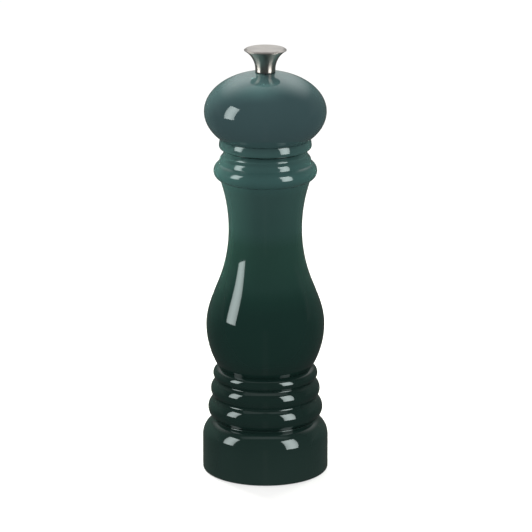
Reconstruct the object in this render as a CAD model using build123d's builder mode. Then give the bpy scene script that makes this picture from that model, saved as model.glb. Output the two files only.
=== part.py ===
# Table pepper mill: lacquered body, head that turns the grinder, trumpet knob that sets the grind.
# Millimetres. +Z is up, the origin is the middle of the foot, the front faces -Y.
import os
from math import acos, asin, cos, degrees, pi, sin, sqrt

from build123d import *

os.makedirs("parts", exist_ok=True)

# Overall
mill_height = 210.0
base_radius = 30.7

# Body outside: (radius, height) of each crease and crest, from the foot up
foot_round = 0.8
wall_top = 17.2
low_ring_lower = (23.75, 25.9)
low_ring_crest = (28.05, 31.45)
low_ring_upper = (24.5, 36.8)
mid_ring_crest = (26.73, 40.9)
mid_ring_upper = (23.05, 45.7)
top_ring_crest = (25.62, 48.85)
top_ring_upper = (21.9, 51.75)
belly = (28.85, 73.65)
belly_arc = 36.0
waist = (17.82, 121.5)
neck_crease = (21.86, 146.05)
bead_crest = (24.98, 150.3)
bead_upper = (22.7, 154.2)
cove_middle = (22.0, 155.15)
collar_radius = 21.7
collar_bottom = 156.4
collar_round = 157.5
seam_lip = 19.6
body_top = 160.0

# Body inside
cavity_radius = 26.6
cavity_top = 12.0
cup_bore = 20.5
web_bottom = 22.0
web_top = 25.0
web_hole = 15.3
ring_bore = 19.0
belly_inside = (25.85, 73.65)
belly_inside_arc = 33.0
waist_inside = (15.4, 121.5)
mouth_bottom = 146.5
mouth_bore = 18.6

# Joint of base and body, hidden in the crease above the rings
joint_spigot = 20.4
joint_bore = 20.45
joint_top = 54.4
socket_top = 54.5

# Hopper liner and the ring in the mouth
hopper_inner = 14.0
hopper_outer = 15.2
bush_outer = 18.55
bush_bore = 15.98
bush_lip_top = 147.7
bush_top = 159.4

# Grinder housing
flange_bottom = 8.0
flange_radius = 26.3
cup_radius = 20.2
stator_seat = 17.55
stator_top = 16.5
throat_radius = 14.6
spoke_bottom = 19.0
spoke_width = 3.0
boss_radius = 9.5
boss_bore = 7.05
boss_top = 27.0

# Burrs: (radius, height) along each cone
stator_radius = 17.5
stator_mouth = (12.6, 16.5)
stator_throat = (13.0, 10.5)
stator_rim = (14.5, 8.0)
rotor_nose = (6.8, 16.0)
rotor_throat = (12.65, 10.5)
rotor_rim = (14.15, 8.0)
coarse_teeth = 9
coarse_groove = 1.3
fine_teeth = 30
fine_groove = 0.45
tooth_twist = 24.0

# Shaft and what it carries
shaft_side = 6.0
shaft_edge = 0.3
square_bottom = 8.0
square_top = 188.0
thread_radius = 3.0
shaft_top = 207.2
thread_chamfer = 0.6
stub_radius = 2.5
stub_bottom = 4.0
clip_bottom = 6.72
clip_thickness = 0.65
clip_groove = 2.0
clip_radius = 4.6
clip_mouth = 3.6
washer_radius = 6.5
washer_bottom = 7.4
hub_across_flats = 10.0

# Bush on the shaft and its spring
shaft_bush_radius = 7.0
shaft_bush_bottom = 18.5
shaft_bush_flange = 9.0
flange_gap = 0.1
shaft_bush_top = 28.2
pocket_radius = 6.0
pocket_top = 25.5
square_clearance = 0.1
spring_radius = 5.3
spring_wire = 0.35
spring_turns = 5

# Crossbar and screws
bar_bottom = 3.4
bar_thickness = 1.2
bar_width = 9.0
bar_leg = 15.0
bar_end = 22.5
bar_bend = 0.5
bar_hole = 2.58
screw_shank = 1.45
screw_hole = 1.5
screw_head = 2.6
screw_head_height = 1.5
screw_slot = 0.7
screw_slot_length = 3.0
screw_slot_depth = 0.8
bar_screw_place = 19.6
bar_screw_top = 11.4
housing_screw_circle = 23.3
housing_screw_top = 18.0

# Head
head_bottom = 160.3
head_bore = 17.5
head_wall = 3.0
ring_lower = (19.4, 160.3)
ring_crest = (22.12, 163.85)
ball_radius = 29.45
ball_height = 179.4
ball_upper = 19.35
ball_lower = 19.6
ball_crease_turn = 42.7
crown_hole = 3.3
crown_flat_radius = 5.2
crown_flat = 198.45

# Plug in the head
plug_radius = 17.45
plug_top = 166.8
skirt_inner = 15.5
spigot_radius = 15.9
spigot_inner = 13.9
spigot_bottom = 150.0
deck_bottom = 158.0
deck_top = 161.0
tube_inner = 4.8
tube_outer = 6.5
tube_top = 195.0
plug_boss = 2.8
plate_screw_circle = 10.2
plate_screw_top = 156.0
plate_radius = 15.0
plate_thickness = 1.5

# Knob
washer_outer = 4.8
washer_inner = 3.2
washer_top = 199.0
knob_foot = 4.85
knob_bore = 3.1
flare_bottom = 200.0
knob_radius = 10.2
rim_bottom = 209.0
rim_round = 0.8
cap_radius = 9.0
cap_thickness = 0.9
fit_gap = 0.05


def arcs_meet(low, high, low_arc):
    # Point where an arc that is upright at low runs smoothly into one that is upright at high
    across = low[0] - high[0]
    rise = high[1] - low[1]
    both_arcs = (across**2 + rise**2) / (2 * across)
    turn = asin(rise / both_arcs)
    return (low[0] - low_arc * (1 - cos(turn)), low[1] + low_arc * sin(turn))


def on_cone(point, turn):
    # A (radius, height) point carried round the axis by an angle in degrees
    angle = turn * pi / 180
    return Vector(point[0] * cos(angle), point[0] * sin(angle), point[1])


def cut_teeth(start, end, count, groove):
    # Round grooves along a cone, twisted, each running a little past both ends
    for tooth in range(count):
        first = on_cone(start, tooth * 360 / count)
        last = on_cone(end, tooth * 360 / count + tooth_twist)
        run = last - first
        with BuildSketch(Plane(origin=first - run * 0.2, z_dir=run)) as section:
            Circle(groove)
        extrude(section.sketch, amount=run.length * 1.4, mode=Mode.SUBTRACT)


def add_screws(heights, places):
    # Pan-head screws pointing up: under-head height, tip height, and places as (x, y)
    under_head, tip = heights
    with BuildSketch(Plane.XY.offset(under_head)) as shanks:
        with Locations(*places):
            Circle(screw_shank)
    extrude(shanks.sketch, amount=tip - under_head)
    with BuildSketch(Plane.XY.offset(under_head)) as heads:
        with Locations(*places):
            Circle(screw_head)
    extrude(heads.sketch, amount=-screw_head_height)
    with BuildSketch(Plane.XY.offset(under_head - screw_head_height)) as slots:
        with Locations(*places):
            Rectangle(screw_slot_length, screw_slot)
            Rectangle(screw_slot, screw_slot_length)
    extrude(slots.sketch, amount=screw_slot_depth, mode=Mode.SUBTRACT)


def ring_places(radius, count, first_turn):
    # Places evenly round a circle, as (x, y)
    turns = [first_turn + 360 * index / count for index in range(count)]
    return [(radius * cos(turn * pi / 180), radius * sin(turn * pi / 180)) for turn in turns]


housing_places = ring_places(housing_screw_circle, 3, 90)
bar_places = ring_places(bar_screw_place, 2, 0)
plate_places = ring_places(plate_screw_circle, 3, 90)

# Base: drum and three rings, open below for the grinder, with a spigot that is welded into the body
with BuildPart() as base_shell:
    with BuildSketch(Plane.XZ):
        with BuildLine():
            Line((cavity_radius, 0), (base_radius - foot_round, 0))
            TangentArc((base_radius - foot_round, 0), (base_radius, foot_round), tangent=(1, 0))
            Line((base_radius, foot_round), (base_radius, wall_top))
            TangentArc((base_radius, wall_top), low_ring_lower, tangent=(0, 1))
            ThreePointArc(low_ring_lower, low_ring_crest, low_ring_upper)
            ThreePointArc(low_ring_upper, mid_ring_crest, mid_ring_upper)
            ThreePointArc(mid_ring_upper, top_ring_crest, top_ring_upper)
            Polyline(top_ring_upper, (joint_spigot, top_ring_upper[1]), (joint_spigot, joint_top),
                     (ring_bore, joint_top), (ring_bore, web_top), (web_hole, web_top),
                     (web_hole, web_bottom), (cup_bore, web_bottom), (cup_bore, cavity_top),
                     (cavity_radius, cavity_top), (cavity_radius, 0))
        make_face()
    revolve(axis=Axis.Z)
    with BuildSketch(Plane.XY.offset(cavity_top)):
        with Locations(*housing_places):
            Circle(screw_hole)
    extrude(amount=housing_screw_top + 0.5 - cavity_top, mode=Mode.SUBTRACT)
base_shell.part.label = "base_shell"
export_step(base_shell.part, "parts/base_shell.step")

# Body: belly, waist, neck, bead and collar, open above for the head
with BuildPart() as body_shell:
    with BuildSketch(Plane.XZ):
        with BuildLine():
            Line((joint_bore, top_ring_upper[1]), top_ring_upper)
            TangentArc(belly, top_ring_upper, tangent=(0, -1))
            outer_meet = arcs_meet(belly, waist, belly_arc)
            outer_belly = TangentArc(belly, outer_meet, tangent=(0, 1))
            TangentArc(outer_meet, waist, tangent=outer_belly % 1)
            TangentArc(waist, neck_crease, tangent=(0, 1))
            ThreePointArc(neck_crease, bead_crest, bead_upper)
            ThreePointArc(bead_upper, cove_middle, (collar_radius, collar_bottom))
            Line((collar_radius, collar_bottom), (collar_radius, collar_round))
            TangentArc((collar_radius, collar_round), (seam_lip, body_top), tangent=(0, 1))
            Polyline((seam_lip, body_top), (mouth_bore, body_top), (mouth_bore, mouth_bottom),
                     (waist_inside[0], mouth_bottom), waist_inside)
            inner_meet = arcs_meet(belly_inside, waist_inside, belly_inside_arc)
            inner_belly = TangentArc(belly_inside, inner_meet, tangent=(0, 1))
            TangentArc(inner_meet, waist_inside, tangent=inner_belly % 1)
            TangentArc(belly_inside, (joint_bore, socket_top), tangent=(0, -1))
            Line((joint_bore, socket_top), (joint_bore, top_ring_upper[1]))
        make_face()
    revolve(axis=Axis.Z)
body_shell.part.label = "body_shell"
export_step(body_shell.part, "parts/body_shell.step")

# Hopper liner, standing on the housing and held down by the mouth ring
with BuildPart() as hopper_tube:
    with BuildSketch(Plane.XY.offset(web_bottom)):
        Circle(hopper_outer)
        Circle(hopper_inner, mode=Mode.SUBTRACT)
    extrude(amount=mouth_bottom - web_bottom)
hopper_tube.part.label = "hopper_tube"
export_step(hopper_tube.part, "parts/hopper_tube.step")

# Ring in the mouth, in which the head's spigot turns
with BuildPart() as neck_bush:
    with BuildSketch(Plane.XZ):
        with BuildLine():
            Polyline((hopper_inner, mouth_bottom), (bush_outer, mouth_bottom), (bush_outer, bush_top),
                     (bush_bore + 0.6, bush_top), (bush_bore, bush_top - 0.6), (bush_bore, bush_lip_top),
                     (hopper_inner, bush_lip_top), close=True)
        make_face()
    revolve(axis=Axis.Z)
neck_bush.part.label = "neck_bush"
export_step(neck_bush.part, "parts/neck_bush.step")

# Grinder housing: flange, cup, three spokes and a bearing boss
with BuildPart() as grinder_housing:
    with BuildSketch(Plane.XZ):
        with BuildLine():
            Polyline((stator_seat, flange_bottom), (flange_radius, flange_bottom),
                     (flange_radius, cavity_top), (cup_radius, cavity_top), (cup_radius, web_bottom),
                     (throat_radius, web_bottom), (throat_radius, stator_top), (stator_seat, stator_top),
                     close=True)
        make_face()
    revolve(axis=Axis.Z)
    with BuildSketch(Plane.XY.offset(spoke_bottom)):
        Circle(boss_radius)
    extrude(amount=boss_top - spoke_bottom)
    with BuildSketch(Plane.XY.offset(spoke_bottom)):
        with PolarLocations((boss_radius + throat_radius) / 2, 3, start_angle=30):
            Rectangle(throat_radius - boss_radius + 1.6, spoke_width)
    extrude(amount=web_bottom - spoke_bottom)
    with BuildSketch(Plane.XY.offset(spoke_bottom)):
        Circle(boss_bore)
    extrude(amount=boss_top - spoke_bottom, mode=Mode.SUBTRACT)
    with BuildSketch(Plane.XY.offset(flange_bottom)):
        with Locations(*housing_places):
            Circle(screw_hole)
    extrude(amount=cavity_top - flange_bottom, mode=Mode.SUBTRACT)
    with BuildSketch(Plane.XY.offset(flange_bottom)):
        with Locations(*bar_places):
            Circle(screw_hole)
    extrude(amount=bar_screw_top + 0.2 - flange_bottom, mode=Mode.SUBTRACT)
grinder_housing.part.label = "grinder_housing"
export_step(grinder_housing.part, "parts/grinder_housing.step")

# Fixed burr: ceramic ring, toothed inside
with BuildPart() as stator_burr:
    with BuildSketch(Plane.XZ):
        with BuildLine():
            Polyline(stator_mouth, stator_throat, stator_rim, (stator_radius, flange_bottom),
                     (stator_radius, stator_top), close=True)
        make_face()
    revolve(axis=Axis.Z)
    cut_teeth(stator_mouth, stator_throat, coarse_teeth, coarse_groove)
    cut_teeth(stator_throat, stator_rim, fine_teeth, fine_groove)
stator_burr.part.label = "stator_burr"
export_step(stator_burr.part, "parts/stator_burr.step")

# Turning burr: ceramic cone, toothed outside, on a hexagonal hub
with BuildPart() as rotor_burr:
    with BuildSketch(Plane.XZ):
        with BuildLine():
            Polyline((0, rotor_nose[1]), rotor_nose, rotor_throat, rotor_rim, (0, rotor_rim[1]), close=True)
        make_face()
    revolve(axis=Axis.Z)
    with BuildSketch(Plane.XY.offset(rotor_rim[1])):
        RegularPolygon(hub_across_flats / 2, 6, major_radius=False)
    extrude(amount=rotor_nose[1] - rotor_rim[1], mode=Mode.SUBTRACT)
    cut_teeth(rotor_nose, rotor_throat, coarse_teeth, coarse_groove / 2)
    cut_teeth(rotor_throat, rotor_rim, fine_teeth, fine_groove)
rotor_burr.part.label = "rotor_burr"
export_step(rotor_burr.part, "parts/rotor_burr.step")

# Hub between the square shaft and the turning burr
with BuildPart() as rotor_hub:
    with BuildSketch(Plane.XY.offset(rotor_rim[1])):
        RegularPolygon(hub_across_flats / 2, 6, major_radius=False)
        Rectangle(shaft_side + 2 * fit_gap, shaft_side + 2 * fit_gap, mode=Mode.SUBTRACT)
    extrude(amount=rotor_nose[1] - rotor_rim[1])
rotor_hub.part.label = "rotor_hub"
export_step(rotor_hub.part, "parts/rotor_hub.step")

# Shaft: square bar, threaded top, round lower end with a groove
with BuildPart() as drive_shaft:
    with BuildSketch(Plane.XY.offset(square_bottom)):
        shaft_square = Rectangle(shaft_side, shaft_side)
        fillet(shaft_square.vertices(), shaft_edge)
    extrude(amount=square_top - square_bottom)
    with BuildSketch(Plane.XY.offset(square_top)):
        Circle(thread_radius)
    extrude(amount=shaft_top - square_top)
    chamfer(drive_shaft.faces().sort_by(Axis.Z)[-1].edges(), thread_chamfer)
    with BuildSketch(Plane.XY.offset(stub_bottom)):
        Circle(stub_radius)
    extrude(amount=square_bottom - stub_bottom)
    with BuildSketch(Plane.XY.offset(clip_bottom)):
        Circle(stub_radius + 1)
        Circle(clip_groove, mode=Mode.SUBTRACT)
    extrude(amount=clip_thickness, mode=Mode.SUBTRACT)
drive_shaft.part.label = "drive_shaft"
export_step(drive_shaft.part, "parts/drive_shaft.step")

# Washer under the turning burr
with BuildPart() as rotor_washer:
    with BuildSketch(Plane.XY.offset(washer_bottom)):
        Circle(washer_radius)
        Circle(stub_radius + fit_gap, mode=Mode.SUBTRACT)
    extrude(amount=rotor_rim[1] - washer_bottom)
rotor_washer.part.label = "rotor_washer"
export_step(rotor_washer.part, "parts/rotor_washer.step")

# Snap ring in the shaft's groove
with BuildPart() as rotor_clip:
    with BuildSketch(Plane.XY.offset(clip_bottom)):
        Circle(clip_radius)
        Circle(clip_groove + fit_gap, mode=Mode.SUBTRACT)
        with Locations((clip_radius / 2 + 0.5, 0)):
            Rectangle(clip_radius + 1, clip_mouth, mode=Mode.SUBTRACT)
    extrude(amount=clip_thickness)
rotor_clip.part.label = "rotor_clip"
export_step(rotor_clip.part, "parts/rotor_clip.step")

# Bush that turns in the boss with the shaft and seats the spring
with BuildPart() as shaft_bush:
    with BuildSketch(Plane.XZ):
        with BuildLine():
            Polyline((pocket_radius, shaft_bush_bottom), (shaft_bush_radius, shaft_bush_bottom),
                     (shaft_bush_radius, boss_top + flange_gap), (shaft_bush_flange, boss_top + flange_gap),
                     (shaft_bush_flange, shaft_bush_top), (0, shaft_bush_top), (0, pocket_top),
                     (pocket_radius, pocket_top), close=True)
        make_face()
    revolve(axis=Axis.Z)
    with BuildSketch(Plane.XY.offset(pocket_top)):
        Rectangle(shaft_side + 2 * square_clearance, shaft_side + 2 * square_clearance)
    extrude(amount=shaft_bush_top - pocket_top, mode=Mode.SUBTRACT)
shaft_bush.part.label = "shaft_bush"
export_step(shaft_bush.part, "parts/shaft_bush.step")

# Spring: a helix of quarter turns, each two arcs that meet smoothly
spring_bottom = rotor_nose[1] + fit_gap + spring_wire
spring_pitch = (pocket_top - fit_gap - spring_wire - spring_bottom) / spring_turns


def helix_point(turn):
    angle = 2 * pi * turn
    return Vector(spring_radius * cos(angle), spring_radius * sin(angle), spring_bottom + spring_pitch * turn)


def helix_heading(turn):
    angle = 2 * pi * turn
    around = 2 * pi * spring_radius
    return Vector(-around * sin(angle), around * cos(angle), spring_pitch).normalized()


with BuildPart() as spring:
    with BuildLine() as spring_line:
        for quarter in range(4 * spring_turns):
            start, end = helix_point(quarter / 4), helix_point((quarter + 1) / 4)
            leave, arrive = helix_heading(quarter / 4), helix_heading((quarter + 1) / 4)
            span = end - start
            along = span.dot(leave + arrive)
            spare = 4 - (leave + arrive).dot(leave + arrive)
            arm = (sqrt(along**2 + spare * span.dot(span)) - along) / spare
            start_arm, end_arm = start + leave * arm, end - arrive * arm
            middle = (start_arm + end_arm) * 0.5
            TangentArc(start, middle, tangent=leave)
            TangentArc(middle, end, tangent=end_arm - start_arm)
    with BuildSketch(Plane(origin=helix_point(0), z_dir=helix_heading(0))):
        Circle(spring_wire)
    sweep(path=spring_line.wires()[0])
spring_steps = [helix_point(step / 36) for step in range(36 * spring_turns + 1)]
spring_gap = min((spring_steps[later] - spring_steps[first]).length
                 for first in range(len(spring_steps)) for later in range(first + 18, len(spring_steps)))
print("least gap between the spring's turns, mm:", round(spring_gap - 2 * spring_wire, 2))
spring.part.label = "spring"
export_step(spring.part, "parts/spring.step")

# Crossbar: bent strip under the burrs
with BuildPart() as crossbar:
    with BuildSketch(Plane.XZ):
        with BuildLine():
            tab = flange_bottom - bar_thickness
            leg = bar_leg + bar_thickness
            floor_top = bar_bottom + bar_thickness
            Polyline((-bar_end, flange_bottom), (-bar_leg, flange_bottom), (-bar_leg, floor_top),
                     (bar_leg, floor_top), (bar_leg, flange_bottom), (bar_end, flange_bottom),
                     (bar_end, tab), (leg, tab), (leg, bar_bottom), (-leg, bar_bottom), (-leg, tab),
                     (-bar_end, tab), close=True)
        bar_face = make_face()
        fillet(bar_face.vertices(), bar_bend)
    extrude(amount=bar_width / 2, both=True)
    with BuildSketch(Plane.XY.offset(bar_bottom)):
        Circle(bar_hole)
    extrude(amount=bar_thickness, mode=Mode.SUBTRACT)
    with BuildSketch(Plane.XY.offset(tab)):
        with Locations(*bar_places):
            Circle(screw_hole)
    extrude(amount=bar_thickness, mode=Mode.SUBTRACT)
crossbar.part.label = "crossbar"
export_step(crossbar.part, "parts/crossbar.step")

# Screws of the crossbar and of the housing
with BuildPart() as crossbar_screws:
    add_screws((flange_bottom - bar_thickness, bar_screw_top), bar_places)
crossbar_screws.part.label = "crossbar_screws"
export_step(crossbar_screws.part, "parts/crossbar_screws.step")

with BuildPart() as housing_screws:
    add_screws((flange_bottom, housing_screw_top), housing_places)
housing_screws.part.label = "housing_screws"
export_step(housing_screws.part, "parts/housing_screws.step")

# Head: flattened ball on a bead ring, hollow
with BuildPart() as head_shell:
    with BuildSketch(Plane.XZ):
        with BuildLine():
            middle = (0, ball_height)
            inner_radius = ball_radius - head_wall
            inner_turn = degrees(acos(head_bore / inner_radius))
            outer_low = EllipticalCenterArc(middle, ball_radius, ball_lower, -ball_crease_turn,
                                            arc_size=ball_crease_turn)
            EllipticalCenterArc(middle, ball_radius, ball_upper, 0, arc_size=90)
            inner_low = EllipticalCenterArc(middle, inner_radius, ball_lower - head_wall, -inner_turn,
                                            arc_size=inner_turn)
            EllipticalCenterArc(middle, inner_radius, ball_upper - head_wall, 0, arc_size=90)
            Line((0, ball_height + ball_upper - head_wall), (0, ball_height + ball_upper))
            ThreePointArc(ring_lower, ring_crest, outer_low @ 0)
            Polyline(inner_low @ 0, (head_bore, head_bottom), ring_lower)
        make_face()
    revolve(axis=Axis.Z)
    with BuildSketch(Plane.XY.offset(crown_flat)):
        Circle(crown_flat_radius)
    extrude(amount=2, mode=Mode.SUBTRACT)
    with BuildSketch(Plane.XY.offset(ball_height)):
        Circle(crown_hole)
    extrude(amount=ball_upper + 1, mode=Mode.SUBTRACT)
head_shell.part.label = "head_shell"
export_step(head_shell.part, "parts/head_shell.step")

# Plug in the head: spigot, deck, skirt and the tube round the shaft
with BuildPart() as head_plug:
    with BuildSketch(Plane.XZ):
        with BuildLine():
            Polyline((tube_inner, spigot_bottom), (tube_outer, spigot_bottom), (tube_outer, deck_bottom),
                     (spigot_inner, deck_bottom), (spigot_inner, spigot_bottom),
                     (spigot_radius, spigot_bottom), (spigot_radius, head_bottom),
                     (plug_radius, head_bottom), (plug_radius, plug_top),
                     (skirt_inner, plug_top), (skirt_inner, deck_top), (tube_outer, deck_top),
                     (tube_outer, tube_top), (tube_inner, tube_top), close=True)
        make_face()
    revolve(axis=Axis.Z)
    with BuildSketch(Plane.XY.offset(spigot_bottom)):
        with Locations(*plate_places):
            Circle(plug_boss)
    extrude(amount=deck_bottom - spigot_bottom)
    with BuildSketch(Plane.XY.offset(spigot_bottom)):
        with Locations(*plate_places):
            Circle(screw_hole)
    extrude(amount=plate_screw_top + 0.5 - spigot_bottom, mode=Mode.SUBTRACT)
head_plug.part.label = "head_plug"
export_step(head_plug.part, "parts/head_plug.step")

# Plate that drives the square shaft, and its screws
with BuildPart() as drive_plate:
    with BuildSketch(Plane.XY.offset(spigot_bottom - plate_thickness)):
        Circle(plate_radius)
        Rectangle(shaft_side + 2 * square_clearance, shaft_side + 2 * square_clearance, mode=Mode.SUBTRACT)
        with Locations(*plate_places):
            Circle(screw_hole, mode=Mode.SUBTRACT)
    extrude(amount=plate_thickness)
drive_plate.part.label = "drive_plate"
export_step(drive_plate.part, "parts/drive_plate.step")

with BuildPart() as drive_plate_screws:
    add_screws((spigot_bottom - plate_thickness, plate_screw_top), plate_places)
drive_plate_screws.part.label = "drive_plate_screws"
export_step(drive_plate_screws.part, "parts/drive_plate_screws.step")

# Washer between the knob and the head
with BuildPart() as knob_washer:
    with BuildSketch(Plane.XY.offset(crown_flat)):
        Circle(washer_outer)
        Circle(washer_inner, mode=Mode.SUBTRACT)
    extrude(amount=washer_top - crown_flat)
knob_washer.part.label = "knob_washer"
export_step(knob_washer.part, "parts/knob_washer.step")

# Knob: straight foot, flared stem, rounded rim, recess for the cap
with BuildPart() as adjusting_knob:
    with BuildSketch(Plane.XZ):
        with BuildLine():
            recess = mill_height - cap_thickness
            recess_radius = cap_radius + fit_gap
            Polyline((knob_bore, washer_top), (knob_foot, washer_top), (knob_foot, flare_bottom))
            TangentArc((knob_foot, flare_bottom), (knob_radius, rim_bottom), tangent=(0, 1))
            Line((knob_radius, rim_bottom), (knob_radius, mill_height - rim_round))
            TangentArc((knob_radius, mill_height - rim_round), (knob_radius - rim_round, mill_height),
                       tangent=(0, 1))
            Polyline((knob_radius - rim_round, mill_height), (recess_radius, mill_height),
                     (recess_radius, recess), (knob_bore, recess), (knob_bore, washer_top))
        make_face()
    revolve(axis=Axis.Z)
adjusting_knob.part.label = "adjusting_knob"
export_step(adjusting_knob.part, "parts/adjusting_knob.step")

# Flat disc let into the knob's top
with BuildPart() as knob_cap:
    with BuildSketch(Plane.XY.offset(mill_height - cap_thickness)):
        Circle(cap_radius)
    extrude(amount=cap_thickness)
knob_cap.part.label = "knob_cap"
export_step(knob_cap.part, "parts/knob_cap.step")
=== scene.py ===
import math

import bmesh
import bpy
import numpy as np
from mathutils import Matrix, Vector


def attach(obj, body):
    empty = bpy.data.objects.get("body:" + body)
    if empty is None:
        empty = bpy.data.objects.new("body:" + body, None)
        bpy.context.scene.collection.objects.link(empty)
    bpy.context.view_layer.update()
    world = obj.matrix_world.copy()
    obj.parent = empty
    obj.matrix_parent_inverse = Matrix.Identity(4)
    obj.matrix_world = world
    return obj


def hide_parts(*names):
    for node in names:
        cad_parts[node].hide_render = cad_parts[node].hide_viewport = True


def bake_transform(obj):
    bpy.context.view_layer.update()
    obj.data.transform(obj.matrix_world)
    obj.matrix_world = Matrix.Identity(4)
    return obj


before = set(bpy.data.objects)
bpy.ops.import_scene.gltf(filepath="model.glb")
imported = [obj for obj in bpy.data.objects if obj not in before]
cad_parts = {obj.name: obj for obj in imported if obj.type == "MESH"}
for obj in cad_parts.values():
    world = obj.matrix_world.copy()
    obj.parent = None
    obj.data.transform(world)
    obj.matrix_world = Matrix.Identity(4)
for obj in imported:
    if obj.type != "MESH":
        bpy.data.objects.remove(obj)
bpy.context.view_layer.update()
mm = 0.001
weldGap = 1e-7             # m, points nearer than this become one


# Outlines are (radius, height) points in millimetres, walked anticlockwise: up the outside, down the inside

def uprightArc(start, end, steps=48):
    # Circle that stands upright at start and passes through end
    across, rise = start[0] - end[0], end[1] - start[1]
    radius = (across ** 2 + rise ** 2) / (2 * across)
    turn = np.linspace(0, math.asin(rise / radius), steps)
    return np.stack([start[0] - radius * (1 - np.cos(turn)), start[1] + radius * np.sin(turn)], axis=1)


def threePointArc(first, middle, last, steps=48):
    # Circle through three points, from the first by way of the middle to the last
    a, b, c = complex(*first), complex(*middle), complex(*last)
    ratio = (c - a) / (b - a)
    centre = a + (b - a) * (ratio - abs(ratio) ** 2) / (2j * ratio.imag)
    corners = np.unwrap(np.angle([a - centre, b - centre, c - centre]))
    arc = centre + abs(a - centre) * np.exp(1j * np.linspace(corners[0], corners[2], steps))
    return np.stack([arc.real, arc.imag], axis=1)


def ellipseArc(height, radii, turns, steps=96):
    # Part of an ellipse centred on the axis: (a cos t, height + b sin t) between two turns in radians
    turn = np.linspace(*turns, steps)
    return np.stack([radii[0] * np.cos(turn), height + radii[1] * np.sin(turn)], axis=1)


def arcsMeet(low, high, lowArc):
    # Where an arc of radius lowArc, upright at low, runs smoothly into one that is upright at high
    across, rise = low[0] - high[0], high[1] - low[1]
    turn = math.asin(rise * 2 * across / (across ** 2 + rise ** 2))
    return low[0] - lowArc * (1 - math.cos(turn)), low[1] + lowArc * math.sin(turn)


def eased(curve, centre, reach, spacing=0.25):
    # Rising curve, taken every so many mm, whose radius near one height is averaged over a bell curve,
    # so that two arcs blend there
    heights = np.arange(curve[0, 1], curve[-1, 1], spacing)
    radii = np.interp(heights, curve[:, 1], curve[:, 0])
    bell = np.exp(-0.5 * ((heights[:, None] - heights) / reach) ** 2)
    share = np.exp(-((heights - centre) / (2 * reach)) ** 2)
    return np.stack([radii + share * (bell @ radii / bell.sum(axis=1) - radii), heights], axis=1)


def softened(outline, reach, count, spacing=0.05, longStep=4, turnStep=7):
    # The closed outline walked at a fine spacing and averaged over a bell curve of the given reach, both in
    # mm, which rounds each corner. It is then thinned so that every step travels or turns by about the same,
    # where longStep in mm counts as much as turnStep in degrees
    loop = np.concatenate([outline, outline[:1]])
    walked = np.concatenate([[0], np.cumsum(np.hypot(*np.diff(loop, axis=0).T))])
    along = np.arange(0, walked[-1], spacing)
    fine = np.interp(along, walked, loop[:, 0]) + 1j * np.interp(along, walked, loop[:, 1])
    bell = np.exp(-2 * (math.pi * np.fft.fftfreq(len(fine), spacing) * reach) ** 2)
    fine = np.fft.ifft(np.fft.fft(fine) * bell)
    step = np.roll(fine, -1) - fine
    bend = np.abs(np.angle(step / np.roll(step, 1)))
    effort = np.concatenate([[0], np.cumsum(np.abs(step) / longStep + bend / math.radians(turnStep))])
    kept = np.interp(np.linspace(0, effort[-1], count, endpoint=False), effort, np.arange(len(effort)))
    points = np.interp(kept, np.arange(len(effort)), np.append(fine, fine[0]))
    return np.stack([points.real, points.imag], axis=1)


def gridPiece(name, grid, body, stands, material, sharp=40):
    # Mesh over a grid of points [row, column, xyz], whose meeting edges and poles are welded shut
    rows, columns = grid.shape[:2]
    index = np.arange(rows * columns).reshape(rows, columns)
    faces = np.stack([index[:-1, :-1], index[1:, :-1], index[1:, 1:], index[:-1, 1:]], axis=-1)
    mesh = bpy.data.meshes.new(name)
    mesh.from_pydata(grid.reshape(-1, 3).tolist(), [], faces.reshape(-1, 4).tolist())
    welded = bmesh.new()
    welded.from_mesh(mesh)
    bmesh.ops.remove_doubles(welded, verts=welded.verts, dist=weldGap)
    welded.to_mesh(mesh)
    welded.free()
    mesh.shade_smooth()
    mesh.set_sharp_from_angle(angle=math.radians(sharp))
    mesh.materials.append(material)
    piece = bpy.data.objects.new(name, mesh)
    bpy.context.scene.collection.objects.link(piece)
    if body:
        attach(piece, body)
    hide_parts(*stands)
    print("made", name, len(mesh.polygons), "faces")
    return piece


def turnedGrid(outline, steps):
    # Outline carried round the axis: (r, h) at angle a stands at (r cos a, r sin a, h)
    loop = np.concatenate([outline, outline[:1]]) * mm
    angle = np.linspace(0, 2 * math.pi, steps + 1)[:, None]
    height = np.broadcast_to(loop[:, 1], (steps + 1, len(loop)))
    return np.stack([np.cos(angle) * loop[:, 0], np.sin(angle) * loop[:, 0], height], axis=-1)


# Materials

def linear(hexColour):
    # sRGB hex to linear red, green, blue and full alpha
    shown = np.array([int(hexColour[i:i + 2], 16) for i in (1, 3, 5)]) / 255
    flat = np.where(shown <= 0.04045, shown / 12.92, ((shown + 0.055) / 1.055) ** 2.4)
    return (*flat.tolist(), 1.0)


def addNode(tree, kind, inputs=None, **settings):
    # One node: its settings, then its inputs, each a fixed value or a link from another node's socket
    made = tree.nodes.new("ShaderNode" + kind)
    for name, value in settings.items():
        setattr(made, name, value)
    for socket, value in (inputs or {}).items():
        if isinstance(value, bpy.types.NodeSocket):
            tree.links.new(value, made.inputs[socket])
        else:
            made.inputs[socket].default_value = value
    return made


def newMaterial(name):
    material = bpy.data.materials.new(name)
    material.use_nodes = True
    material.node_tree.nodes.clear()
    return material, material.node_tree


noiseSpan = {"From Min": 0.3, "From Max": 0.7}    # where the values of a noise texture mostly lie

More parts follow.
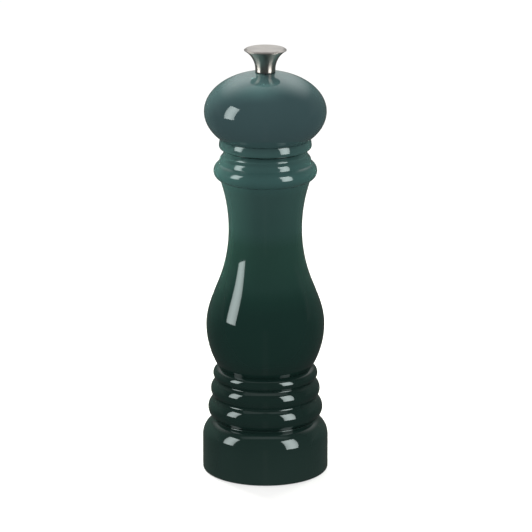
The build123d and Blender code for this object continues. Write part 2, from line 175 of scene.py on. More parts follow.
lacquerCoat = {
    "fadeAndShade": [              # height in mm, colour
        (0, "#20302C"), (15, "#1D2E2A"), (27, "#162824"), (50, "#152723"), (62, "#142B26"),
        (85, "#142C27"), (91, "#16302A"), (97, "#1D3731"), (106, "#1F3A33"), (116, "#213C35"),
        # the steep rise from 142 to 150 mm is partly painted shade: the neck under the bead is kept darker
        # than the bead
        (123, "#29433F"), (142, "#2D4643"), (150, "#345250"), (163, "#36514F"), (172, "#364B4D"),
    ],
    "top": 200,            # mm, end of the fade's scale
    "droplet": 0.6,        # mm, overspray droplets that grain the fade
    "fadeGrain": 5,        # mm by which droplets move the fade up or down
    "cloud": 30,           # mm, slow unevenness of the coat
    "cloudTone": (0.95, 1.05),
    "peel": 2.4,           # mm, orange peel
    "peelDepth": 0.0025,   # mm
    "roughness": (0.035, 0.07),
    "ior": 1.5,
}


def sprayedLacquer(name):
    # Gloss lacquer sprayed on moulded ABS, dark green misted into slate green: a wet, hard gloss
    # with crisp reflections, a grain of droplets where the greens fade and a trace of orange peel.
    # The fade's steep rise from neck to bead is partly painted shade on the neck under the bead
    coat = lacquerCoat
    material, tree = newMaterial(name)
    place = addNode(tree, "TexCoord").outputs["Object"]
    height = addNode(tree, "SeparateXYZ", {0: place}).outputs["Z"]
    droplets = addNode(tree, "TexNoise", {"Vector": place, "Scale": 1 / (coat["droplet"] * mm),
                                          "Detail": 2})
    misted = addNode(tree, "Math", {0: droplets.outputs[0], 1: coat["fadeGrain"] * mm, 2: height},
                     operation="MULTIPLY_ADD")
    lowest = 0.5 * coat["fadeGrain"] * mm
    scale = addNode(tree, "MapRange", {"Value": misted.outputs[0], "From Min": lowest,
                                       "From Max": lowest + coat["top"] * mm})
    fadeAndShade = addNode(tree, "ValToRGB", {0: scale.outputs[0]})
    stops = fadeAndShade.color_ramp.elements
    while len(stops) < len(coat["fadeAndShade"]):
        stops.new(1)
    for stop, (level, colour) in zip(stops, coat["fadeAndShade"]):
        stop.position = level / coat["top"]
        stop.color = linear(colour)
    clouds = addNode(tree, "TexNoise", {"Vector": place, "Scale": 1 / (coat["cloud"] * mm), "Detail": 3})
    thin = addNode(tree, "MapRange", {**noiseSpan, "Value": clouds.outputs[0],
                                      "To Min": coat["cloudTone"][0], "To Max": coat["cloudTone"][1]})
    tone = addNode(tree, "Mix", {0: 1.0, 6: fadeAndShade.outputs[0], 7: thin.outputs[0]},
                   data_type="RGBA", blend_type="MULTIPLY")
    gloss = addNode(tree, "MapRange", {**noiseSpan, "Value": clouds.outputs[0],
                                       "To Min": coat["roughness"][0], "To Max": coat["roughness"][1]})
    peel = addNode(tree, "TexNoise", {"Vector": place, "Scale": 1 / (coat["peel"] * mm), "Detail": 1})
    skin = addNode(tree, "Bump", {"Height": peel.outputs[0], "Strength": 1.0,
                                  "Distance": coat["peelDepth"] * mm})
    shader = addNode(tree, "BsdfPrincipled", {"Base Color": tone.outputs[2], "Roughness": gloss.outputs[0],
                                              "IOR": coat["ior"], "Normal": skin.outputs[0]})
    addNode(tree, "OutputMaterial", {"Surface": shader.outputs[0]})
    return material


turnedFinish = {
    "colour": "#D2CEC8", "shade": "#BEBAB4",
    "ring": 0.4,           # mm between tool rings, coarser than the real 0.1 so that they show
    "ringDepth": 0.0002,   # mm
    "roughness": (0.30, 0.36),
    "streak": 0.9,         # how far the rings draw out a reflection
    "streakTurn": 0.25,    # of a turn, from along the rings to across them
}


def turnedSteel(name):
    # Stainless steel turned on a lathe and satin polished: fine rings round the axis that
    # streak the reflections, so that a lamp shows as a soft upright band on the stem
    finish = turnedFinish
    material, tree = newMaterial(name)
    place = addNode(tree, "TexCoord").outputs["Object"]
    parts = addNode(tree, "SeparateXYZ", {0: place}).outputs
    flat = addNode(tree, "CombineXYZ", {"X": parts["X"], "Y": parts["Y"]})
    radius = addNode(tree, "VectorMath", {0: flat.outputs[0]}, operation="LENGTH")
    along = addNode(tree, "Math", {0: radius.outputs["Value"], 1: parts["Z"]}, operation="ADD")
    rings = addNode(tree, "TexNoise", {"W": along.outputs[0], "Scale": 1 / (finish["ring"] * mm),
                                       "Detail": 4}, noise_dimensions="1D")
    tone = addNode(tree, "Mix", {0: rings.outputs[0], 6: linear(finish["shade"]),
                                 7: linear(finish["colour"])}, data_type="RGBA")
    satin = addNode(tree, "MapRange", {**noiseSpan, "Value": rings.outputs[0],
                                       "To Min": finish["roughness"][0], "To Max": finish["roughness"][1]})
    cut = addNode(tree, "Bump", {"Height": rings.outputs[0], "Strength": 1.0,
                                 "Distance": finish["ringDepth"] * mm})
    ringWay = addNode(tree, "Tangent", direction_type="RADIAL", axis="Z")
    shader = addNode(tree, "BsdfPrincipled", {"Base Color": tone.outputs[2], "Roughness": satin.outputs[0],
                                              "Metallic": 1.0, "Normal": cut.outputs[0],
                                              "Tangent": ringWay.outputs[0], "Anisotropic": finish["streak"],
                                              "Anisotropic Rotation": finish["streakTurn"]})
    addNode(tree, "OutputMaterial", {"Surface": shader.outputs[0]})
    return material


steelFinishes = {          # grain in mm, and its scale along X, Y and Z, where less draws it out
    "drawnStainlessSteel": {"colour": "#C6C4C0", "shade": "#9C9A96", "grain": 0.5, "stretch": (1, 1, 0.05),
                            "roughness": (0.22, 0.36)},
    "rolledStainlessSteel": {"colour": "#C8C6C2", "shade": "#A09E9A", "grain": 0.4, "stretch": (0.04, 1, 1),
                             "roughness": (0.25, 0.40)},
    "springSteelWire": {"colour": "#A8A6A4", "shade": "#7C7A78", "grain": 0.3, "stretch": (1, 1, 1),
                        "roughness": (0.22, 0.34)},
}
steelLineDepth = 0.002     # mm


def drawnSteel(name):
    # Steel drawn or rolled to size: grain in long streaks along the bar or strip, even on the coiled wire,
    # bright but not mirror-like
    finish = steelFinishes[name]
    material, tree = newMaterial(name)
    place = addNode(tree, "TexCoord").outputs["Object"]
    pulled = addNode(tree, "Mapping", {"Vector": place, "Scale": finish["stretch"]})
    streaks = addNode(tree, "TexNoise", {"Vector": pulled.outputs[0], "Scale": 1 / (finish["grain"] * mm),
                                         "Detail": 3})
    tone = addNode(tree, "Mix", {0: streaks.outputs[0], 6: linear(finish["shade"]),
                                 7: linear(finish["colour"])}, data_type="RGBA")
    satin = addNode(tree, "MapRange", {**noiseSpan, "Value": streaks.outputs[0],
                                       "To Min": finish["roughness"][0], "To Max": finish["roughness"][1]})
    lines = addNode(tree, "Bump", {"Height": streaks.outputs[0], "Strength": 1.0,
                                   "Distance": steelLineDepth * mm})
    shader = addNode(tree, "BsdfPrincipled", {"Base Color": tone.outputs[2], "Roughness": satin.outputs[0],
                                              "Metallic": 1.0, "Normal": lines.outputs[0]})
    addNode(tree, "OutputMaterial", {"Surface": shader.outputs[0]})
    return material


plasticFinishes = {        # grain and its depth in mm
    "blackMouldedAcetal": {"colour": "#1E1E1F", "shade": "#161617", "grain": 0.5, "depth": 0.008,
                           "roughness": (0.36, 0.5), "ior": 1.48},
    "whiteMouldedAcetal": {"colour": "#E6E4DC", "shade": "#D6D3C8", "grain": 0.5, "depth": 0.006,
                           "roughness": (0.34, 0.46), "ior": 1.48},
    "blackExtrudedPolypropylene": {"colour": "#232324", "shade": "#19191A", "grain": 0.9, "depth": 0.006,
                                   "roughness": (0.3, 0.44), "ior": 1.49},
    "blackPunchedNylon": {"colour": "#1B1B1C", "shade": "#121213", "grain": 0.4, "depth": 0.01,
                          "roughness": (0.45, 0.6), "ior": 1.53},
}
plasticCloud = 9           # mm


def mattPlastic(name):
    # Acetal from a spark-eroded mould, polypropylene extruded as a tube, nylon punched from sheet: an even
    # colour with a slight cloudiness and a fine matt grain that breaks up the shine
    finish = plasticFinishes[name]
    material, tree = newMaterial(name)
    place = addNode(tree, "TexCoord").outputs["Object"]
    clouds = addNode(tree, "TexNoise", {"Vector": place, "Scale": 1 / (plasticCloud * mm), "Detail": 3})
    tone = addNode(tree, "Mix", {0: clouds.outputs[0], 6: linear(finish["shade"]),
                                 7: linear(finish["colour"])}, data_type="RGBA")
    spark = addNode(tree, "TexNoise", {"Vector": place, "Scale": 1 / (finish["grain"] * mm), "Detail": 2})
    satin = addNode(tree, "MapRange", {**noiseSpan, "Value": spark.outputs[0],
                                       "To Min": finish["roughness"][0], "To Max": finish["roughness"][1]})
    pits = addNode(tree, "Bump", {"Height": spark.outputs[0], "Strength": 1.0,
                                  "Distance": finish["depth"] * mm})
    shader = addNode(tree, "BsdfPrincipled", {"Base Color": tone.outputs[2], "Roughness": satin.outputs[0],
                                              "IOR": finish["ior"], "Normal": pits.outputs[0]})
    addNode(tree, "OutputMaterial", {"Surface": shader.outputs[0]})
    return material


ceramicFinish = {
    "colour": "#F0EDE4", "shade": "#D9D4C8",
    "grain": 0.5, "grainDepth": 0.01,    # mm
    "speckSpacing": 1.4,                 # mm
    "speckEdge": (0.04, 0.12),           # where a speck starts and ends to fade, in parts of the spacing
    "speckTone": 0.55,
    "roughness": 0.55, "ior": 1.76,
}


def firedCeramic(name):
    # Alumina pressed and fired without glaze: warm white, matt, with fine grains and a few grey specks
    finish = ceramicFinish
    material, tree = newMaterial(name)
    place = addNode(tree, "TexCoord").outputs["Object"]
    grains = addNode(tree, "TexNoise", {"Vector": place, "Scale": 1 / (finish["grain"] * mm), "Detail": 3})
    tone = addNode(tree, "Mix", {0: grains.outputs[0], 6: linear(finish["shade"]),
                                 7: linear(finish["colour"])}, data_type="RGBA")
    specks = addNode(tree, "TexVoronoi", {"Vector": place, "Scale": 1 / (finish["speckSpacing"] * mm)})
    near = addNode(tree, "MapRange", {"Value": specks.outputs["Distance"],
                                      "From Min": finish["speckEdge"][0], "From Max": finish["speckEdge"][1],
                                      "To Min": finish["speckTone"], "To Max": 1.0})
    spotted = addNode(tree, "Mix", {0: 1.0, 6: tone.outputs[2], 7: near.outputs[0]},
                      data_type="RGBA", blend_type="MULTIPLY")
    pits = addNode(tree, "Bump", {"Height": grains.outputs[0], "Strength": 1.0,
                                  "Distance": finish["grainDepth"] * mm})
    shader = addNode(tree, "BsdfPrincipled", {"Base Color": spotted.outputs[2],
                                              "Roughness": finish["roughness"], "IOR": finish["ior"],
                                              "Normal": pits.outputs[0]})
    addNode(tree, "OutputMaterial", {"Surface": shader.outputs[0]})
    return material


lacquer = sprayedLacquer("sprayedLacquer")
knobSteel = turnedSteel("turnedStainlessSteel")
barSteel = drawnSteel("drawnStainlessSteel")
stripSteel = drawnSteel("rolledStainlessSteel")
wireSteel = drawnSteel("springSteelWire")
blackAcetal = mattPlastic("blackMouldedAcetal")
whiteAcetal = mattPlastic("whiteMouldedAcetal")
linerPlastic = mattPlastic("blackExtrudedPolypropylene")
nylonSheet = mattPlastic("blackPunchedNylon")
burrCeramic = firedCeramic("firedAlumina")

nodeFinishes = {
    "hopper_tube": linerPlastic, "neck_bush": blackAcetal, "grinder_housing": blackAcetal,
    "head_plug": blackAcetal, "shaft_bush": whiteAcetal, "rotor_hub": whiteAcetal,
    "stator_burr": burrCeramic, "rotor_burr": burrCeramic,
    "crossbar": stripSteel, "drive_plate": stripSteel,
    "crossbar_screws": barSteel, "housing_screws": barSteel, "drive_plate_screws": barSteel,
    "rotor_washer": stripSteel, "rotor_clip": wireSteel, "knob_washer": nylonSheet,
}
for nodeName, finish in nodeFinishes.items():
    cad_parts[nodeName].data.materials.clear()
    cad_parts[nodeName].data.materials.append(finish)
print("materials made:", len(bpy.data.materials))


# Base: drum and three stacked rings, hollow for the grinder, with a spigot that goes into the body

baseShape = {
    "radius": 30.7, "footRound": 0.45, "wallTop": 17.2,
    "creases": [(24.6, 25.9), (24.9, 36.8), (23.6, 45.7), (22.6, 51.9)],
    "crests": [(28.05, 31.45), (26.73, 40.9), (25.62, 48.85)],
    "cavity": (26.6, 12.0), "cup": (20.5, 22.0), "webHole": 15.3, "webTop": 25.0, "bore": 19.0,
    "fillet": (22.2, 52.7), "spigot": (20.4, 54.4),
    "soft": 0.85, "count": 380, "steps": 192,
}


def baseOutline(shape):
    radius, foot, fillet, bore = shape["radius"], shape["footRound"], shape["fillet"], shape["bore"]
    creases, crests, webHole, webTop = shape["creases"], shape["crests"], shape["webHole"], shape["webTop"]
    cavity, cup, spigot = shape["cavity"], shape["cup"], shape["spigot"]
    inset = foot * (1 - math.cos(math.pi / 4))
    rings = [threePointArc(low, crest, high) for low, crest, high in zip(creases, crests, creases[1:])]
    return np.concatenate([
        [(cavity[0], 0)],
        threePointArc((radius - foot, 0), (radius - inset, inset), (radius, foot)),
        uprightArc((radius, shape["wallTop"]), creases[0]),
        *rings,
        [fillet, (spigot[0], fillet[1]), spigot, (bore, spigot[1]), (bore, webTop),
         (webHole, webTop), (webHole, cup[1]), cup, (cup[0], cavity[1]), cavity],
    ])


baseLoop = softened(baseOutline(baseShape), baseShape["soft"], baseShape["count"])
base = gridPiece("baseLacquer", turnedGrid(baseLoop, baseShape["steps"]), "mill_body",
                 ["base_shell"], lacquer)


# Body: belly, waist and neck, from the crease above the rings to the one under the bead.
# It runs on a little inside the ring and the bead, so that no slit shows in the creases

bodyShape = {
    "seam": (22.6, 51.9), "seamInside": (22.0, 51.3), "socket": (20.45, 54.5),
    "belly": (28.85, 73.65), "bellyArc": 36.0, "waist": (17.82, 121.5), "blend": 5.0,
    "neckCrease": (21.86, 146.05), "neckInside": (22.2, 146.95), "mouth": 18.6, "shoulder": 146.5,
    "waistInside": (15.4, 121.5), "bellyInside": (25.85, 73.65), "insideArc": 33.0,
    "soft": 0.2, "count": 320, "steps": 192,
}


def bodyOutline(shape):
    mouth, shoulder, neckInside = shape["mouth"], shape["shoulder"], shape["neckInside"]
    meet = arcsMeet(shape["belly"], shape["waist"], shape["bellyArc"])
    meetInside = arcsMeet(shape["bellyInside"], shape["waistInside"], shape["insideArc"])
    side = np.concatenate([
        uprightArc(shape["belly"], shape["seam"])[::-1],
        uprightArc(shape["belly"], meet),
        uprightArc(shape["waist"], meet)[::-1],
        uprightArc(shape["waist"], shape["neckCrease"]),
    ])
    return np.concatenate([
        [(shape["socket"][0], shape["seamInside"][1]), shape["seamInside"]],
        eased(side, meet[1], shape["blend"]),
        [shape["neckCrease"], neckInside, (mouth, neckInside[1]), (mouth, shoulder),
         (shape["waistInside"][0], shoulder)],
        uprightArc(shape["waistInside"], meetInside),
        uprightArc(shape["bellyInside"], meetInside)[::-1],
        uprightArc(shape["bellyInside"], shape["socket"]),
    ])


bodyLoop = softened(bodyOutline(bodyShape), bodyShape["soft"], bodyShape["count"])
belly = gridPiece("bodyLacquer", turnedGrid(bodyLoop, bodyShape["steps"]), "mill_body",
                  ["body_shell"], lacquer)


# Bead, collar and narrow lip at the body's mouth

beadShape = {
    "crease": (21.86, 146.05), "crest": (24.98, 150.3), "top": (22.6, 154.3),
    "collar": [(22.3, 154.65), (22.0, 156.2), (21.65, 156.95), (20.75, 158.0)],
    "lip": [(20.5, 158.3), (20.4, 158.75), (19.65, 159.75), (19.25, 160.4)], "mouth": 18.6,
    "soft": 0.12, "count": 260, "steps": 192,
}


def beadOutline(shape):
    return np.concatenate([
        [(shape["mouth"], shape["crease"][1])],
        threePointArc(shape["crease"], shape["crest"], shape["top"]),
        shape["collar"], shape["lip"],
        [(shape["mouth"], shape["lip"][-1][1])],
    ])


beadLoop = softened(beadOutline(beadShape), beadShape["soft"], beadShape["count"])
gridPiece("beadLacquer", turnedGrid(beadLoop, beadShape["steps"]), "mill_body",
          ["body_shell"], lacquer)


# Head: bead ring under a flattened ball, with a flat on the crown for the knob's washer

headShape = {
    "bore": 17.5, "seat": (19.2, 160.55), "ringFoot": (20.7, 161.1), "ringCrest": (22.35, 162.8),
    "ball": 29.45, "ballHeight": 179.4, "upper": 19.35, "lower": 19.6, "crease": 42.7,
    "wall": 3.0, "crownFlat": (5.2, 198.45), "crownHole": 3.3,
    "soft": 0.18, "ringCount": 160, "ballCount": 340, "steps": 192,
}


def headOutlines(shape):
    ball, height, wall, bore = shape["ball"], shape["ballHeight"], shape["wall"], shape["bore"]
    inside = ball - wall
    low = ellipseArc(height, (ball, shape["lower"]), (-math.radians(shape["crease"]), 0))
    crease = low[0]
    ring = np.concatenate([
        [(bore, shape["seat"][1]), shape["seat"]],
        uprightArc(shape["ringCrest"], shape["ringFoot"])[::-1],
        uprightArc(shape["ringCrest"], crease),
        [(bore, crease[1])],
    ])
    ballPart = np.concatenate([
        [(bore, crease[1])],
        low,
        ellipseArc(height, (ball, shape["upper"]), (0, math.acos(shape["crownFlat"][0] / ball))),
        [(shape["crownHole"], shape["crownFlat"][1])],
        ellipseArc(height, (inside, shape["upper"] - wall), (math.acos(shape["crownHole"] / inside), 0)),
        ellipseArc(height, (inside, shape["lower"] - wall), (0, -math.acos(bore / inside))),
    ])
    return ring, ballPart


ringOutline, ballOutline = headOutlines(headShape)
ringLoop = softened(ringOutline, headShape["soft"], headShape["ringCount"])
gridPiece("headRingLacquer", turnedGrid(ringLoop, headShape["steps"]), "head",
          ["head_shell"], lacquer)
ballLoop = softened(ballOutline, headShape["soft"], headShape["ballCount"])
ball = gridPiece("headBallLacquer", turnedGrid(ballLoop, headShape["steps"]), "head",
                 ["head_shell"], lacquer)


# Knob: straight foot, flared stem, bevelled rim, and a flat disc let into its top

knobShape = {
    "bore": 3.1, "foot": 4.85, "footBottom": 199.0, "flareBottom": 200.0,
    "rim": 10.2, "rimBottom": 209.2, "rimBevel": (0.9, 0.6),
    "top": 210.0, "recess": 9.05, "recessBottom": 209.1,
    "soft": 0.07, "count": 300, "steps": 160,
}


def knobOutline(shape):
    bore, foot, rim, recess = shape["bore"], shape["foot"], shape["rim"], shape["recess"]
    top, bevel, recessBottom = shape["top"], shape["rimBevel"], shape["recessBottom"]
    return np.concatenate([
        [(bore, shape["footBottom"]), (foot, shape["footBottom"])],
        uprightArc((foot, shape["flareBottom"]), (rim, shape["rimBottom"])),
        [(rim, top - bevel[1]), (rim - bevel[0], top), (recess, top), (recess, recessBottom),
         (bore, recessBottom)],
    ])


knobLoop = softened(knobOutline(knobShape), knobShape["soft"], knobShape["count"])
stem = gridPiece("knobStem", turnedGrid(knobLoop, knobShape["steps"]), "knob",
                 ["adjusting_knob"], knobSteel)

capShape = {"radius": 9.0, "bottom": 209.1, "top": 210.0, "edge": 0.12, "steps": 160}
capLoop = np.array([
    (0, capShape["bottom"]), (capShape["radius"], capShape["bottom"]),
    (capShape["radius"], capShape["top"] - capShape["edge"]),
    (capShape["radius"] - capShape["edge"], capShape["top"]), (0, capShape["top"]),
])
face = gridPiece("knobFace", turnedGrid(capLoop, capShape["steps"])[:, :-1], "knob",
                 ["knob_cap"], knobSteel, sharp=30)


# Shaft: square bar with a grooved round stub below and an M6 thread above

shaftShape = {
    "stub": [(4.0, 0), (4.0, 2.2), (4.3, 2.5), (6.72, 2.5), (6.72, 2.0), (7.37, 2.0), (7.37, 2.5),
             (8.0, 2.5)],  # height, radius
    "side": 6.0, "cornering": 26, "square": (8.0, 188.0),
    "thread": (188.0, 207.2), "threadRadius": 3.0, "lead": 1.0, "threadDepth": 0.55, "chamfer": 0.6,
    "steps": 96, "rowsPerLead": 12,
}


def shaftGrid(shape):
    # Radius over height and angle: level rows for the stub, a rounded square |x|^n + |y|^n = s^n for the
    # bar, and for the thread a triangle wave of height minus angle, so that its ridge climbs one lead a turn
    angle = np.linspace(0, 2 * math.pi, shape["steps"] + 1)
    even = np.ones_like(angle)
    stubHeights, stubRadii = np.array(shape["stub"]).T
    power, crest, chamfer = shape["cornering"], shape["threadRadius"], shape["chamfer"]
    corners = np.abs(np.cos(angle)) ** power + np.abs(np.sin(angle)) ** power
    square = shape["side"] / 2 / corners ** (1 / power)
    low, high = shape["thread"]
    rows = int((high - low) / shape["lead"] * shape["rowsPerLead"]) + 1
    threadHeights = np.linspace(low, high, rows)
    turns = threadHeights[:, None] / shape["lead"] - angle / (2 * math.pi)
    valley = shape["threadDepth"] * np.abs(2 * (turns % 1) - 1)
    taper = np.clip((high - threadHeights) / chamfer, 0, 1)[:, None]
    threadRadii = np.minimum(crest - valley, crest - chamfer * (1 - taper))
    radii = np.concatenate([np.outer(stubRadii, even), [square, square], threadRadii, [0 * even]]) * mm
    heights = np.concatenate([stubHeights, shape["square"], threadHeights, [high]]) * mm
    return np.stack([radii * np.cos(angle), radii * np.sin(angle),
                     np.broadcast_to(heights[:, None], radii.shape)], axis=-1).swapaxes(0, 1)


gridPiece("shaftRod", shaftGrid(shaftShape), "drive_shaft", ["drive_shaft"], barSteel, sharp=35)


# Spring: five turns of wire between the bush and the burr's hub, built at one length and fixed in place;
# the real one stretches as the shaft comes down

springShape = {
    "radius": 5.3, "wire": 0.35, "turns": 5, "bottom": 16.4, "top": 25.1,
    "steps": 300, "sides": 14,
}


def springGrid(shape):
    # A circle across the wire carried along the helix, shrinking to a point at both ends
    travel = np.linspace(0, 1, shape["steps"] + 1)
    turn = 2 * math.pi * shape["turns"] * travel
    climb = (shape["top"] - shape["bottom"]) / (2 * math.pi * shape["turns"])
    outward = np.stack([np.cos(turn), np.sin(turn), 0 * turn], axis=1)
    centre = shape["radius"] * outward + [[0, 0, shape["bottom"]]] + np.outer(climb * turn, [0, 0, 1])
    upward = np.stack([climb * np.sin(turn), -climb * np.cos(turn), shape["radius"] + 0 * turn], axis=1)
    upward /= np.linalg.norm(upward, axis=1, keepdims=True)
    around = np.linspace(0, 2 * math.pi, shape["sides"] + 1)[None, :, None]
    wire = np.full((len(travel), 1, 1), shape["wire"])
    wire[[0, -1]] = 0
    circle = np.cos(around) * outward[:, None] + np.sin(around) * upward[:, None]
    return (centre[:, None] + wire * circle) * mm


spring = gridPiece("springWire", springGrid(springShape), None, ["spring"], wireSteel)
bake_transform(spring)


# Studio: white ground, even light, a bright panel behind, softboxes in front that show in the gloss only,
# lamps behind that light the edges, and small lamps for the neck and the crown

studio = {
    "paper": "#F4F4F2", "paperFibre": "#FAFAF8", "paperRoughness": 0.9, "paperIor": 1.4,
    "fibre": 3,                            # mm
    "floorSize": 12.0, "floorDrop": 0.0001,    # m
    "floorWash": 0.6,                      # how far the floor is washed out to white
    "ambient": 1.0, "ambientLift": 0.3,    # even light on matt surfaces, where 1 is white, and its rise
    "dimRoom": 0.07,                       # what gloss sees of the unlit room in front
    "panel": [                             # degrees up from the level behind, and brightness
        (-20, 0.05), (-8, 0.25), (0, 0.45), (10, 0.62), (18, 0.8), (27, 1.15), (35, 1.45), (42, 1.55),
        (54, 1.2), (64, 0.63), (74, 0.2), (83, 0.0),
    ],
    "panelPeak": 1.55,
    "panelSide": (0.3, 1.2, 0.06),         # lean aside where it starts and ends to dim, and what is left
    "leanFloor": 0.1,                      # added to the rise, so that the lean stays finite when level
    "aim": (0, 0, 0.11),
    "softboxes": {    # degrees round and up, distance, width and height in m, watts, tint
        "softboxLeft": (-71, 20.5, 1.5, 0.60, 1.08, 16, (0.87, 1.0, 0.98)),
        "softboxRight": (49.5, 16.5, 1.5, 0.67, 1.43, 27, (0.87, 1.0, 0.98)),
        "ringStrip": (0, 72, 1.5, 2.0, 0.45, 1.4, (0.87, 1.0, 0.98)),
        "knobLeft": (-82, 7, 0.6, 0.40, 0.3, 1.5, (1.0, 0.98, 0.95)),
        "knobRight": (54, 7, 0.6, 0.38, 0.3, 1.8, (1.0, 0.97, 0.93)),
    },
    "cloth": (0.75, 1.15),                 # strength of a softbox at its sides and in its middle
    "edgeTint": (0.94, 1.0, 0.88),
    "edgeAim": (0, 0, 0.18),
    "edgeLamps": {                         # place from the aim, width and height in m, watts
        "edgeTop": ((-0.11, 0.429, 0.409), (0.4, 0.12), 11.5),
        "edgeLow": ((-0.11, 0.429, 0.409), (0.4, 0.12), 5.5),
        "edgeLeft": ((-0.284, 0.35, -0.04), (0.12, 0.3), 4.9),
        "edgeRight": ((0.284, 0.35, -0.04), (0.12, 0.3), 2.9),
    },
    "gridLamps": {                         # place, aim and side in m, watts, spread in degrees
        "neckLeft": ((-0.2, 0.035, 0.15), (0, 0, 0.142), 0.05, 0.018, 30),
        "neckRight": ((0.2, 0.035, 0.15), (0, 0, 0.142), 0.05, 0.006, 30),
        "crownSnoot": ((-0.003, 0.3065, 0.569), (-0.003, -0.0215, 0.192), 0.005, 0.0011, 2.8),
    },
}


def paleFloor(name):
    # Matt white paper: an even tone with a barely visible fibre, washed out part of the way to white
    material, tree = newMaterial(name)
    place = addNode(tree, "TexCoord").outputs["Object"]
    fibre = addNode(tree, "TexNoise", {"Vector": place, "Scale": 1 / (studio["fibre"] * mm), "Detail": 3})
    tone = addNode(tree, "Mix", {0: fibre.outputs[0], 6: linear(studio["paper"]),
                                 7: linear(studio["paperFibre"])}, data_type="RGBA")
    paper = addNode(tree, "BsdfPrincipled", {"Base Color": tone.outputs[2],
                                             "Roughness": studio["paperRoughness"],
                                             "IOR": studio["paperIor"]})
    white = addNode(tree, "Emission", {"Color": (1, 1, 1, 1), "Strength": 1.0})
    seen = addNode(tree, "Math", {0: addNode(tree, "LightPath").outputs["Is Camera Ray"],
                                  1: studio["floorWash"]}, operation="MULTIPLY")
    washed = addNode(tree, "MixShader", {0: seen.outputs[0], 1: paper.outputs[0], 2: white.outputs[0]})
    addNode(tree, "OutputMaterial", {"Surface": washed.outputs[0]})
    return material


half, level = studio["floorSize"] / 2, -studio["floorDrop"]
floorMesh = bpy.data.meshes.new("floor")
floorMesh.from_pydata([(-half, -half, level), (half, -half, level), (half, half, level),
                       (-half, half, level)], [], [(0, 1, 2, 3)])
floorMesh.materials.append(paleFloor("whitePaper"))
floor = bpy.data.objects.new("floor", floorMesh)
floor.visible_glossy = False
floor.visible_diffuse = False
bpy.context.scene.collection.objects.link(floor)

world = bpy.data.worlds.new("studio")
bpy.context.scene.world = world
world.use_nodes = True
sky = world.node_tree
sky.nodes.clear()
rays = addNode(sky, "LightPath").outputs
toward = addNode(sky, "TexCoord").outputs["Generated"]
way = addNode(sky, "SeparateXYZ", {0: toward}).outputs
rise = addNode(sky, "Math", {0: way["Z"], 1: way["Y"]}, operation="ARCTAN2")
lowest, highest = studio["panel"][0][0], studio["panel"][-1][0]
upward = addNode(sky, "MapRange", {"Value": rise.outputs[0], "From Min": math.radians(lowest),
                                   "From Max": math.radians(highest)})
bands = addNode(sky, "ValToRGB", {0: upward.outputs[0]})
while len(bands.color_ramp.elements) < len(studio["panel"]):
    bands.color_ramp.elements.new(1)
for stop, (angle, bright) in zip(bands.color_ramp.elements, studio["panel"]):
    stop.position = (angle - lowest) / (highest - lowest)
    stop.color = (*[bright / studio["panelPeak"]] * 3, 1)
aside = addNode(sky, "Math", {0: way["X"]}, operation="ABSOLUTE")
above = addNode(sky, "Math", {0: way["Z"], 1: 0.0}, operation="MAXIMUM")
lifted = addNode(sky, "Math", {0: above.outputs[0], 1: studio["leanFloor"]}, operation="ADD")
lean = addNode(sky, "Math", {0: aside.outputs[0], 1: lifted.outputs[0]}, operation="DIVIDE")
middle = addNode(sky, "MapRange", {"Value": lean.outputs[0], "From Min": studio["panelSide"][0],
                                   "From Max": studio["panelSide"][1], "To Min": studio["panelPeak"],
                                   "To Max": studio["panelPeak"] * studio["panelSide"][2]},
                 interpolation_type="SMOOTHSTEP")
mirrored = addNode(sky, "Math", {0: bands.outputs[0], 1: middle.outputs[0], 2: studio["dimRoom"]},
                   operation="MULTIPLY_ADD")
even = addNode(sky, "Math", {0: way["Z"], 1: studio["ambientLift"], 2: studio["ambient"]},
               operation="MULTIPLY_ADD")
room = addNode(sky, "Mix", {0: rays["Is Diffuse Ray"], 2: mirrored.outputs[0], 3: even.outputs[0]})
seen = addNode(sky, "Math", {0: rays["Is Camera Ray"], 1: rays["Is Transmission Ray"]},
               operation="MAXIMUM")
strength = addNode(sky, "Mix", {0: seen.outputs[0], 2: room.outputs[0], 3: 1.0})
ground = addNode(sky, "Background", {"Color": (1, 1, 1, 1), "Strength": strength.outputs[0]})
addNode(sky, "OutputWorld", {"Surface": ground.outputs[0]})


def areaLamp(name, place, aim, size, power, tint):
    # A flat lamp that faces its aim
    lamp = bpy.data.lights.new(name, "AREA")
    lamp.shape, lamp.size, lamp.size_y, lamp.energy, lamp.color = "RECTANGLE", *size, power, tint
    holder = bpy.data.objects.new(name, lamp)
    holder.location = place
    holder.rotation_euler = (place - aim).to_track_quat("Z", "Y").to_euler()
    bpy.context.scene.collection.objects.link(holder)
    return holder


def clothGlow(lamp, edge, middle):
    # Cloth front of a softbox: brightest down its middle, by half a sine wave from side to side
    lamp.use_nodes = True
    tree = lamp.node_tree
    tree.nodes.clear()
    spot = addNode(tree, "NewGeometry").outputs["Parametric"]
    across = addNode(tree, "SeparateXYZ", {0: spot}).outputs["X"]
    turn = addNode(tree, "Math", {0: across, 1: math.pi}, operation="MULTIPLY")
    hump = addNode(tree, "Math", {0: turn.outputs[0]}, operation="SINE")
    strength = addNode(tree, "MapRange", {"Value": hump.outputs[0], "To Min": edge, "To Max": middle})
    glow = addNode(tree, "Emission", {"Color": (1, 1, 1, 1), "Strength": strength.outputs[0]})
    addNode(tree, "OutputLight", {"Surface": glow.outputs[0]})


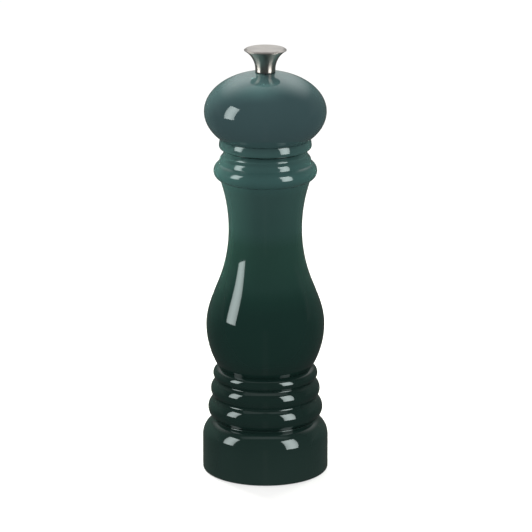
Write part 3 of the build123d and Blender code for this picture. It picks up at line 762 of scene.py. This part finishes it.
aim, edgeAim = Vector(studio["aim"]), Vector(studio["edgeAim"])
lamps = {}
for lampName, (turn, lift, distance, width, height, power, tint) in studio["softboxes"].items():
    turn, lift = math.radians(turn), math.radians(lift)
    out = Vector((math.sin(turn) * math.cos(lift), -math.cos(turn) * math.cos(lift), math.sin(lift)))
    lamps[lampName] = areaLamp(lampName, aim + distance * out, aim, (width, height), power, tint)
    lamps[lampName].visible_diffuse = False
    clothGlow(lamps[lampName].data, *studio["cloth"])
for lampName, (offset, size, power) in studio["edgeLamps"].items():
    place = edgeAim + Vector(offset)
    lamps[lampName] = areaLamp(lampName, place, edgeAim, size, power, studio["edgeTint"])
    lamps[lampName].visible_glossy = False
for lampName, (place, spot, side, power, spread) in studio["gridLamps"].items():
    lamps[lampName] = areaLamp(lampName, Vector(place), Vector(spot), (side, side), power,
                               studio["edgeTint"])
    lamps[lampName].data.spread = math.radians(spread)
    lamps[lampName].visible_glossy = False

# Flags: pieces that a lamp's light is kept off or alone falls on, and pieces that cast no shadow in it
lampFlags = [
    ("softboxLeft", "receiver", "EXCLUDE", (stem, face)),
    ("softboxRight", "receiver", "EXCLUDE", (ball, belly, stem, face)),
    ("knobLeft", "receiver", "INCLUDE", (stem,)),
    ("knobRight", "receiver", "INCLUDE", (stem,)),
    ("ringStrip", "receiver", "INCLUDE", (base,)),
    ("neckLeft", "receiver", "EXCLUDE", (ball,)),
    ("neckRight", "receiver", "EXCLUDE", (ball,)),
    ("crownSnoot", "receiver", "INCLUDE", (ball,)),
    ("crownSnoot", "blocker", "EXCLUDE", (stem, face)),
    ("edgeTop", "receiver", "INCLUDE", (ball,)),
    ("edgeLow", "receiver", "EXCLUDE", (ball,)),
    ("edgeTop", "blocker", "EXCLUDE", (stem, face)),
]
for lampName, role, state, pieces in lampFlags:
    group = bpy.data.collections.new(lampName + role.title())
    for index, piece in enumerate(pieces):
        group.objects.link(piece)
        group.collection_objects[index].light_linking.link_state = state
    setattr(lamps[lampName].light_linking, role + "_collection", group)
print("studio lit")


# Camera: a long lens a little above the mill, at the photograph's angle

cameraSet = {
    "place": (0, -1.5867, 0.5468), "down": 0.27308, "aside": 0.0002,    # m, radians
    "lens": 229.93, "sensor": 36.0,        # mm
}
camera = bpy.data.cameras.new("camera")
camera.lens, camera.sensor_width = cameraSet["lens"], cameraSet["sensor"]
viewer = bpy.data.objects.new("camera", camera)
viewer.location = cameraSet["place"]
viewer.rotation_euler = (math.pi / 2 - cameraSet["down"], 0, -cameraSet["aside"])
bpy.context.scene.collection.objects.link(viewer)
bpy.context.scene.camera = viewer
bpy.context.scene.view_settings.view_transform = "Standard"
